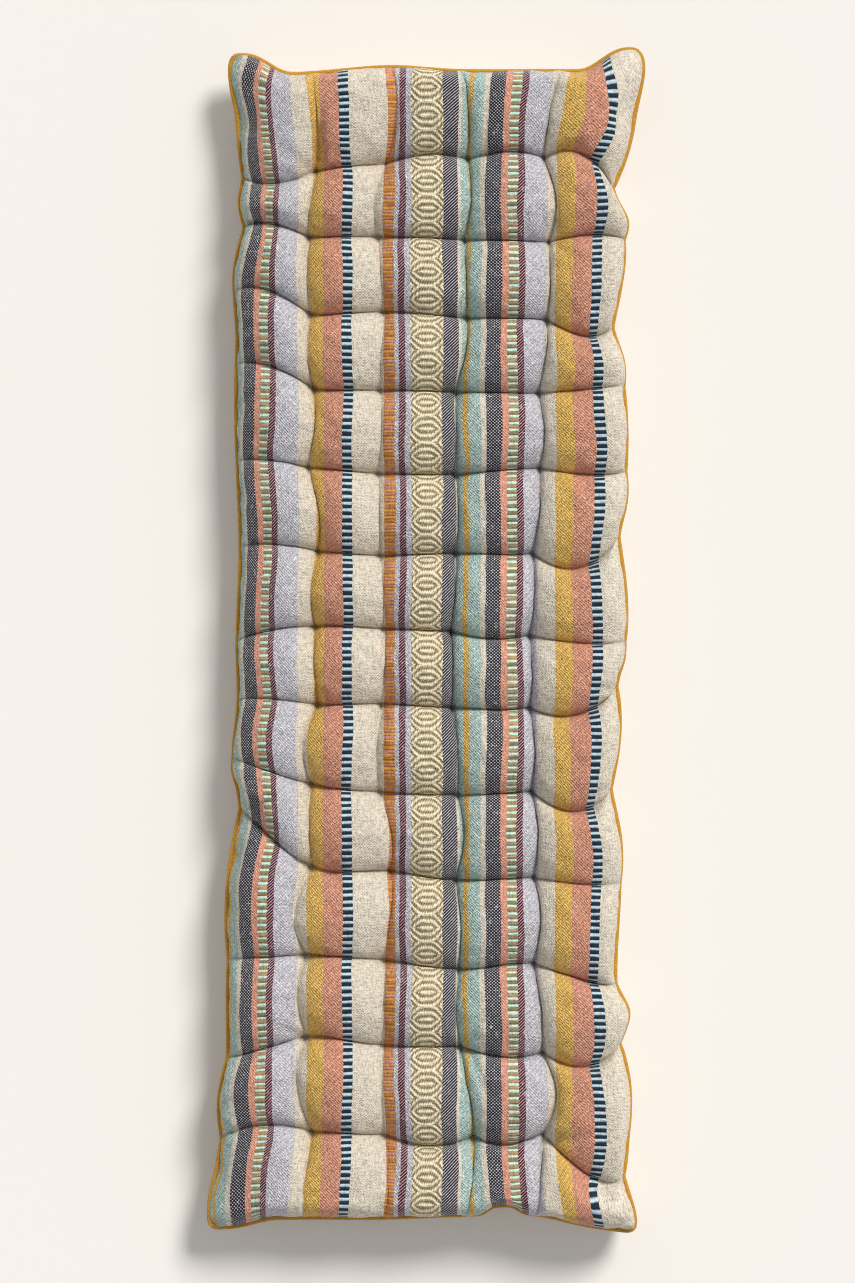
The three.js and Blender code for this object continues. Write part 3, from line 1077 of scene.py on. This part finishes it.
def striped_cloth(colours):
    """The woven top cloth: stripes, checks, ladders and a column of ovals, in uneven cotton."""
    material, tree, shader = new_material("striped_cloth", roughness=0.92, sheen=0.12)
    uv, across, along = cloth_coordinates(tree)
    fray = times(tree, centred_noise(tree, uv, FRAY_SCALE, detail=1.0), FRAY)
    wander = times(tree, centred_noise(tree, uv, WANDER_SCALE, detail=1.0), WANDER)
    placed = plus(tree, across, plus(tree, fray, wander))
    from_start = minus(tree, placed, CLOTH_START * MM)
    place = math_node(tree, "FRACT", over(tree, from_start, CLOTH_REPEAT * MM))

    main = stripe_ramp(tree, place, lambda stripe: getattr(colours, stripe.main))
    second = stripe_ramp(tree, place, lambda stripe: getattr(colours, stripe.second))
    third = stripe_ramp(tree, place, lambda stripe: getattr(colours, stripe.third))
    is_check, is_ladder, is_oval = stripe_masks(tree, place, "check", "ladder", "oval")
    is_twill, is_plain, is_slanted = stripe_masks(tree, place, "twill", "plain", "strokes")
    is_check = plus(tree, is_check, is_slanted)

    flat = {"Across": across, "Along": along}
    twill = use_group(tree, "Twill lines", {**flat, "Pitch": 0.0030})
    pebbles = use_group(tree, "Plain weave", {**flat, "Pitch": 0.0030})
    check = use_group(tree, "Yarn check", {**flat, "Slant": is_slanted})
    ladder = use_group(tree, "Ladder bars", {**flat, "Pitch": 0.0068})
    centred = minus(tree, placed, oval_middle())
    oval = use_group(tree, "Oval rings", {"Across": centred, "Along": along, "Pitch": 0.0270})
    yarn = use_group(tree, "Uneven yarn", {"Cloth": uv, "Pitch": 0.0019, "Amount": 0.8})
    tone = use_group(tree, "Tone over the cloth", {"Cloth": uv, "Amount": 0.08})

    # In twill and plain stripes the second colour is painted shade where the weave sits low between its
    # yarns; in checks, ladders and ovals it is a real second yarn
    share = plus(
        tree,
        times(tree, minus(tree, 1.0, twill["Mask"]), is_twill, TWILL_PAINTED_SHADE),
        times(tree, minus(tree, PLAIN_LEVEL, pebbles["Height"]), is_plain, PLAIN_PAINTED_SHADE),
        times(tree, check["Mask"], is_check),
        times(tree, ladder["Mask"], is_ladder),
        times(tree, oval["Mask"], is_oval, OVAL_SECOND),
    )
    colour = mix_colour(tree, math_node(tree, "MINIMUM", share, 1.0), main, second)
    odd_bars = times(tree, ladder["Odd"], ladder["Mask"], is_ladder)
    fleck = math_node(tree, "MAXIMUM", odd_bars, remap(tree, yarn["Height"], *SPECKS))
    colour = mix_colour(tree, fleck, colour, third)

    relief = plus(
        tree,
        times(tree, twill["Height"], is_twill, TWILL_RELIEF),
        times(tree, pebbles["Height"], is_plain, PLAIN_RELIEF),
        times(tree, oval["Height"], is_oval, OVAL_RELIEF),
        times(tree, check["Height"], is_check, CHECK_RELIEF),
        times(tree, ladder["Height"], is_ladder, LADDER_RELIEF),
        times(tree, yarn["Height"], YARN_RELIEF),
    )
    # Painted shade in the hollows of the weave and painted highlight on its crowns, from the relief,
    # multiplied into the colour
    painted_weave_shading = remap(tree, relief, *PAINTED_WEAVE_SHADING)
    colour = shade_by(tree, colour, yarn["Shade"], tone["Shade"], painted_weave_shading)
    finish_cloth(tree, shader, colour, relief, distance=0.0009, strength=0.9)
    return material


def plain_cloth(colours):
    """The underside's plain calico."""
    material, tree, shader = new_material("plain_cloth", roughness=0.95, sheen=0.08)
    uv, across, along = cloth_coordinates(tree)
    yarn = use_group(tree, "Uneven yarn", {"Cloth": uv, "Pitch": 0.0013, "Amount": 0.3})
    tone = use_group(tree, "Tone over the cloth", {"Cloth": uv, "Amount": 0.12})
    check = use_group(tree, "Yarn check", {"Across": across, "Along": along, "Slant": 0.0})
    # Painted shade between the calico's yarns and painted highlight on them, from the weave's mask
    weave = remap(tree, check["Mask"], *CALICO_PAINTED_SHADING)
    base = plain_colour(tree, colours.calico)
    colour = shade_by(tree, base, yarn["Shade"], tone["Shade"], weave)
    relief = plus(tree, check["Mask"], yarn["Height"])
    finish_cloth(tree, shader, colour, relief, distance=0.0004, strength=0.7)
    return material


def piping_cloth(colours):
    """The bias strip over the cord: slanting twill in uneven yarn."""
    material, tree, shader = new_material("piping_cloth", roughness=0.85, sheen=0.15)
    uv, across, along = cloth_coordinates(tree)
    yarn = use_group(tree, "Uneven yarn", {"Cloth": uv, "Pitch": 0.0016, "Amount": 0.35})
    tone = use_group(tree, "Tone over the cloth", {"Cloth": uv, "Amount": 0.18})
    twill = use_group(tree, "Twill lines", {"Across": across, "Along": along, "Pitch": 0.0017})
    # Painted shade in the bias twill's hollows and painted highlight on its ridges
    lines = remap(tree, twill["Mask"], *BIAS_PAINTED_SHADING)
    base = plain_colour(tree, colours.gold)
    colour = shade_by(tree, base, yarn["Shade"], tone["Shade"], lines)
    relief = plus(tree, twill["Height"], yarn["Height"])
    finish_cloth(tree, shader, colour, relief, distance=0.0004, strength=0.7)
    return material


def thread_cloth(colours):
    """Waxed tufting thread."""
    material, tree, shader = new_material("tuft_thread", roughness=0.6, sheen=0.05)
    place = put(tree, "ShaderNodeTexCoord").outputs["Object"]
    tone = use_group(tree, "Tone over the cloth", {"Cloth": place, "Amount": 0.3})
    colour = shade_by(tree, plain_colour(tree, colours.calico), tone["Shade"])
    fibres = noise(tree, place, FIBRE_SCALE)
    finish_cloth(tree, shader, colour, fibres, distance=0.0002, strength=0.6)
    return material


# Settings

def length_property(name, description, default):
    return bpy.props.FloatProperty(name=name, description=description, default=default, unit="LENGTH")


def number_property(name, description, default):
    return bpy.props.FloatProperty(name=name, description=description, default=default)


def count_property(name, description, default):
    return bpy.props.IntProperty(name=name, description=description, default=default)


def colour_property(label, colour, description):
    return bpy.props.FloatVectorProperty(
        name=label.capitalize(), description=description, subtype="COLOR", size=3, min=0, max=1,
        default=linear(colour)[:3])


class CoverSizes(bpy.types.PropertyGroup):
    """Sizes of the padded cover"""

    crown_height: length_property(
        "Crown height", "Top of a puff before it is stuffed", BODY_HIGH.z - STUFFING_ROOM)
    tuft_height: length_property("Tuft height", "Bottom of a tuft on the top cloth", 0.048)
    under_tuft: length_property("Underside tuft", "Height of a tuft on the underside", 0.022)
    under_drop: length_property(
        "Underside drop", "How far an underside puff would hang below its tufts", 0.034)
    roundness: number_property("Puff roundness", "Higher is a fuller puff with steeper folds", 2.0)
    rim_reach: length_property("Rim reach", "Distance from the seam to the full height", 0.024)
    ease: number_property("Ease", "Share by which the cloth is larger than the stuffing", 0.03)
    pressure: number_property("Stuffing", "Pressure of the stuffing", 4.0)
    settle_frames: count_property("Settling steps", "Frames of the cloth simulation", 20)
    cap: length_property("Largest move", "How far a point may move as it settles", 0.012)
    waves: count_property("Waves", "Number of small waves in the top cloth", 18)
    wave: length_property("Wave height", "Height of the small waves", 0.0006)
    seed: count_property("Seed", "Seed of the small waves and of the cord's swelling", 7)


class PipingSizes(bpy.types.PropertyGroup):
    """Sizes of the piping"""

    radius: length_property("Radius", "Radius of the covered cord", CORD_RADIUS)
    overhang: length_property("Overhang", "Distance of the cord's middle from the seam", 0.0005)
    step: length_property("Step", "Length of one step along the cord", 0.003)
    sides: count_property("Sides", "Sides of the cord's section", 12)


class StitchSizes(bpy.types.PropertyGroup):
    """Sizes of the tuft stitches"""

    length: length_property("Length", "Length of one stitch", 0.007)
    thread: length_property("Thread", "Radius of the thread", 0.0006)
    seed: count_property("Seed", "Seed of the stitches' turns", 3)


class ClothColours(bpy.types.PropertyGroup):
    """Colours of the yarns"""

    __annotations__ = {name: colour_property(name, colour, use) for name, (colour, use) in YARNS.items()}


class StudioLook(bpy.types.PropertyGroup):
    """Floor, light and camera"""

    floor: colour_property("Floor", (243, 239, 234), "Colour of the pale floor")
    key: number_property("Key light", "Strength of the key light", 2.85)
    key_spread: bpy.props.FloatProperty(
        name="Key spread", description="How wide the key light looks", default=math.radians(20),
        subtype="ANGLE")
    fill: number_property("Fill", "Strength of the light all round", 0.44)
    view_length: length_property("View length", "Length that the picture's height takes in", 1.3)
    camera_height: length_property("Camera height", "Height of the camera over the floor", 6.0)


def settings():
    return bpy.context.scene.cushion_settings


class CushionSettings(bpy.types.PropertyGroup):
    """All that the cushion is made from"""

    cover: bpy.props.PointerProperty(type=CoverSizes)
    piping: bpy.props.PointerProperty(type=PipingSizes)
    stitches: bpy.props.PointerProperty(type=StitchSizes)
    colours: bpy.props.PointerProperty(type=ClothColours)
    studio: bpy.props.PointerProperty(type=StudioLook)


# Operators

class CUSHION_OT_cover(bpy.types.Operator):
    """Makes the stuffed cover, with its tufts and folds"""

    bl_idname = "cushion.cover"
    bl_label = "Padded cover"

    def execute(self, context):
        sizes = settings().cover
        grid = BodyGrid(sizes)
        piece = make_mesh("padded_cover", grid.points(), grid.faces())
        side, length = grid.cloth_places()
        places = np.dstack([side, length])
        set_uv(piece.data, np.concatenate([places.reshape(-1, 2), places[~grid.seam]]))
        set_positions(piece.data, settle(piece, sizes, self.hold(grid)))
        points = positions(piece.data)
        points[:, 2] = np.maximum(points[:, 2], 0)
        set_positions(piece.data, points)
        subdivided(piece, levels=1)
        points = positions(piece.data)
        place = points[:, :2] / MM - PLAN_SHIFT
        on_top = smooth_step((points[:, 2] - SEAM_HEIGHT) / TOP_BLEND)
        points[:, 2] -= on_top * (crease_drop(place) * MM - small_waves(place, sizes) * sizes.wave)
        points[:, 2] = np.maximum(points[:, 2], 0)
        set_positions(piece.data, points)

        colours = settings().colours
        piece.data.materials.append(striped_cloth(colours))
        piece.data.materials.append(plain_cloth(colours))
        faces = len(piece.data.polygons)
        underside = (np.arange(faces) >= faces // 2).astype(np.int32)
        piece.data.polygons.foreach_set("material_index", underside)
        piece.data.shade_smooth()
        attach(piece, "root")
        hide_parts("cushion")
        return {"FINISHED"}

    def hold(self, grid):
        """How firmly each point is held: the seam and the tufts fully, the folds a little."""
        u_fold = np.abs(grid.u - np.clip(np.round(grid.u), 1, ACROSS - 1)) * EDGE_PUFF
        v_fold = np.abs(grid.v - np.clip(np.round(grid.v), 1, ALONG - 1)) * EDGE_PUFF
        tuft = np.exp(-((np.hypot(u_fold, v_fold) / TUFT_HOLD_REACH) ** 2))
        fold = np.exp(-((v_fold / FOLD_HOLD_REACH) ** 2)) * FOLD_HOLD
        top = np.maximum(tuft, fold)
        top[grid.seam] = 1
        return np.concatenate([top.ravel(), tuft[~grid.seam]])


class CUSHION_OT_piping(bpy.types.Operator):
    """Makes the covered cord in the seam"""

    bl_idname = "cushion.piping"
    bl_label = "Piping"

    def execute(self, context):
        sizes = settings().piping
        path = self.path(sizes)
        count = len(path)
        run = np.roll(path, -1, axis=0) - np.roll(path, 1, axis=0)
        run /= np.linalg.norm(run, axis=1, keepdims=True)
        out = np.stack([run[:, 1], -run[:, 0]], axis=1)
        turn = np.arange(sizes.sides) / sizes.sides * 2 * np.pi
        rng = np.random.default_rng(settings().cover.seed)
        spread = np.ones(CORD_SWELL_STEPS) / CORD_SWELL_STEPS
        uneven = np.convolve(rng.normal(size=count + CORD_SWELL_STEPS - 1), spread, "valid")
        swell = 1 + CORD_SWELL * uneven
        ring = sizes.radius * swell[:, None]
        x = path[:, 0, None] + out[:, 0, None] * ring * np.cos(turn)
        y = path[:, 1, None] + out[:, 1, None] * ring * np.cos(turn)
        z = SEAM_HEIGHT + ring * np.sin(turn)
        points = np.stack([x, y, z], axis=-1).reshape(-1, 3)
        here = np.arange(count)[:, None] * sizes.sides + np.arange(sizes.sides)
        across = np.roll(here, -1, axis=1)
        ahead = np.roll(here, -1, axis=0)
        both = np.roll(ahead, -1, axis=1)
        faces = np.stack([here, ahead, both, across], axis=-1).reshape(-1, 4)
        piece = make_mesh("piping_cord", points, faces)
        steps = np.linalg.norm(np.diff(path, axis=0, append=path[:1]), axis=1)
        self.map_cloth(piece.data, steps, sizes)
        piece.data.materials.append(piping_cloth(settings().colours))
        piece.data.shade_smooth()
        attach(piece, "root")
        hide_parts("piping")
        return {"FINISHED"}

    def path(self, sizes):
        """Even steps once round the seam, moved out by the overhang."""
        run = np.linspace(0, 1, CORD_STEPS, endpoint=False)
        down = plan(run * 0, run * ALONG)
        foot = plan(run * ACROSS, run * 0 + ALONG)
        up = plan(run * 0 + ACROSS, (1 - run) * ALONG)
        head = plan((1 - run) * ACROSS, run * 0)
        seam = np.concatenate([down, foot, up, head, down[:1]])
        arc = np.concatenate([[0], np.cumsum(np.linalg.norm(np.diff(seam, axis=0), axis=1))])
        count = round(arc[-1] / sizes.step)
        even = np.arange(count) * arc[-1] / count
        line = np.stack([np.interp(even, arc, seam[:, axis]) for axis in (0, 1)], axis=1)
        run = np.roll(line, -1, axis=0) - np.roll(line, 1, axis=0)
        run /= np.linalg.norm(run, axis=1, keepdims=True)
        return line + np.stack([run[:, 1], -run[:, 0]], axis=1) * sizes.overhang

    def map_cloth(self, mesh, steps, sizes):
        """Cloth map of the cord: round it, and along it."""
        layer = mesh.uv_layers.new(name="cloth")
        starts = np.concatenate([[0], np.cumsum(steps)])
        girth = 2 * math.pi * sizes.radius / sizes.sides
        uv = []
        for step in range(len(steps)):
            for side in range(sizes.sides):
                near, far = starts[step], starts[step + 1]
                low, high = side * girth, (side + 1) * girth
                uv += [(low, near), (low, far), (high, far), (high, near)]
        layer.data.foreach_set("uv", np.array(uv, np.float32).ravel())


class CUSHION_OT_stitches(bpy.types.Operator):
    """Makes the thread that draws each tuft in, on the underside"""

    bl_idname = "cushion.stitches"
    bl_label = "Tuft stitches"

    def execute(self, context):
        sizes = settings().stitches
        v, u = np.meshgrid(np.arange(1, ALONG), np.arange(1, ACROSS), indexing="ij")
        spots = plan(u.ravel().astype(float), v.ravel().astype(float))
        height = np.full((len(spots), 1), settings().cover.under_tuft)
        piece = make_mesh("tuft_stitches", np.hstack([spots, height]), np.zeros((0, 3), int))
        rng = np.random.default_rng(sizes.seed)
        turns = piece.data.attributes.new("turn", "FLOAT", "POINT")
        turns.data.foreach_set("value", rng.uniform(-STITCH_TURN, STITCH_TURN, len(spots)).astype(np.float32))
        material = thread_cloth(settings().colours)
        modifier = piece.modifiers.new("Stitches", "NODES")
        modifier.node_group = self.tree(material)
        sockets = {s.name: s.identifier for s in modifier.node_group.interface.items_tree}
        modifier[sockets["Length"]] = sizes.length
        modifier[sockets["Thread"]] = sizes.thread
        graph = bpy.context.evaluated_depsgraph_get()
        mesh = bpy.data.meshes.new_from_object(piece.evaluated_get(graph))
        piece.modifiers.remove(modifier)
        piece.data = mesh
        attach(piece, "root")
        return {"FINISHED"}

    def tree(self, material):
        """Two crossed loops of thread at each point."""
        tree = bpy.data.node_groups.new("Crossed stitch", "GeometryNodeTree")
        for label, kind in (("Geometry", GEOMETRY), ("Length", FLOAT), ("Thread", FLOAT)):
            tree.interface.new_socket(label, in_out="INPUT", socket_type=kind)
        tree.interface.new_socket("Geometry", in_out="OUTPUT", socket_type=GEOMETRY)
        start = tree.nodes.new("NodeGroupInput").outputs
        end = tree.nodes.new("NodeGroupOutput").inputs
        half = times(tree, start["Length"], 0.5)
        back = times(tree, start["Length"], -0.5)
        bow = times(tree, start["Length"], LOOP_BOW)
        left = put(tree, "ShaderNodeCombineXYZ", {0: back, 2: half}).outputs[0]
        middle = put(tree, "ShaderNodeCombineXYZ", {2: bow}).outputs[0]
        right = put(tree, "ShaderNodeCombineXYZ", {0: half, 2: half}).outputs[0]
        bends = {"Resolution": 8, "Start": left, "Middle": middle, "End": right}
        loop = put(tree, "GeometryNodeCurveQuadraticBezier", bends).outputs[0]
        ring = {"Resolution": 6, "Radius": start["Thread"]}
        section = put(tree, "GeometryNodeCurvePrimitiveCircle", ring, mode="RADIUS").outputs[0]
        swept = {"Curve": loop, "Profile Curve": section, "Fill Caps": True}
        thread = put(tree, "GeometryNodeCurveToMesh", swept).outputs[0]
        quarter = {"Geometry": thread, "Rotation": (0, 0, math.pi / 2), "Translation": (0, 0, CROSS_DROP)}
        turned = put(tree, "GeometryNodeTransform", quarter).outputs[0]
        cross = put(tree, "GeometryNodeJoinGeometry")
        tree.links.new(thread, cross.inputs[0])
        tree.links.new(turned, cross.inputs[0])
        turn = put(tree, "GeometryNodeInputNamedAttribute", {"Name": "turn"}, data_type="FLOAT").outputs[0]
        about = put(tree, "ShaderNodeCombineXYZ", {2: turn}).outputs[0]
        copies = {"Points": start["Geometry"], "Instance": cross.outputs[0], "Rotation": about}
        placed = put(tree, "GeometryNodeInstanceOnPoints", copies)
        real = put(tree, "GeometryNodeRealizeInstances", {"Geometry": placed.outputs[0]})
        dressed = put(tree, "GeometryNodeSetMaterial", {"Geometry": real.outputs[0], "Material": material})
        tree.links.new(dressed.outputs[0], end["Geometry"])
        return tree


class CUSHION_OT_stage(bpy.types.Operator):
    """Makes the pale floor, the soft light and the camera overhead"""

    bl_idname = "cushion.stage"
    bl_label = "Studio"

    def execute(self, context):
        look = settings().studio
        corners = np.array([(-1, -1, 0), (1, -1, 0), (1, 1, 0), (-1, 1, 0)]) * FLOOR_HALF
        floor = make_mesh("floor", corners, np.array([[0, 1, 2, 3]]))
        material = bpy.data.materials.new("floor")
        material.use_nodes = True
        shader = material.node_tree.nodes["Principled BSDF"]
        shader.inputs["Base Color"].default_value = (*look.floor, 1)
        shader.inputs["Roughness"].default_value = FLOOR_ROUGHNESS
        shader.inputs["Specular IOR Level"].default_value = FLOOR_SHINE
        floor.data.materials.append(material)

        lamp = bpy.data.lights.new("key", "SUN")
        lamp.energy = look.key
        lamp.angle = look.key_spread
        lamp.color = LIGHT_COLOUR
        key = bpy.data.objects.new("key", lamp)
        context.scene.collection.objects.link(key)
        key.rotation_euler = Vector(LIGHT_FROM).to_track_quat("Z", "Y").to_euler()

        world = bpy.data.worlds.new("studio")
        world.use_nodes = True
        background = world.node_tree.nodes["Background"]
        background.inputs["Color"].default_value = SKY_COLOUR
        background.inputs["Strength"].default_value = look.fill
        context.scene.world = world

        lens = bpy.data.cameras.new("overhead")
        lens.sensor_fit = "VERTICAL"
        lens.sensor_height = SENSOR_HEIGHT
        lens.lens = SENSOR_HEIGHT * (look.camera_height - SEAM_HEIGHT) / look.view_length
        lens.clip_end = VIEW_END
        camera = bpy.data.objects.new("overhead", lens)
        context.scene.collection.objects.link(camera)
        camera.location = (*CAMERA_OFFSET, look.camera_height)
        context.scene.camera = camera
        context.scene.view_settings.view_transform = "Standard"
        # The weave is nearly as fine as the picture's own pixels, so it isn't smoothed away
        context.scene.cycles.denoising_prefilter = "NONE"
        context.scene.cycles.filter_width = PIXEL_FILTER
        return {"FINISHED"}


class CUSHION_PT_panel(bpy.types.Panel):
    """Lists the cushion's pieces and the studio"""

    bl_label = "Bench cushion"
    bl_idname = "CUSHION_PT_panel"
    bl_space_type = "VIEW_3D"
    bl_region_type = "UI"
    bl_category = "Cushion"

    def draw(self, context):
        layout = self.layout
        groups = context.scene.cushion_settings
        for operator, group in (
            (CUSHION_OT_stage, groups.studio),
            (CUSHION_OT_cover, groups.cover),
            (CUSHION_OT_piping, groups.piping),
            (CUSHION_OT_stitches, groups.stitches),
        ):
            box = layout.box()
            box.operator(operator.bl_idname)
            for name in group.__annotations__:
                box.prop(group, name)
        box = layout.box()
        for name in YARNS:
            box.prop(groups.colours, name)


CLASSES = (
    CoverSizes,
    PipingSizes,
    StitchSizes,
    ClothColours,
    StudioLook,
    CushionSettings,
    CUSHION_OT_stage,
    CUSHION_OT_cover,
    CUSHION_OT_piping,
    CUSHION_OT_stitches,
    CUSHION_PT_panel,
)


def register():
    for cls in CLASSES:
        bpy.utils.register_class(cls)
    bpy.types.Scene.cushion_settings = bpy.props.PointerProperty(type=CushionSettings)


def unregister():
    del bpy.types.Scene.cushion_settings
    for cls in reversed(CLASSES):
        bpy.utils.unregister_class(cls)


def main():
    register()
    bpy.ops.cushion.stage()
    bpy.ops.cushion.cover()
    bpy.ops.cushion.piping()
    bpy.ops.cushion.stitches()
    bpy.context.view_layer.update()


if __name__ == "__main__":
    main()
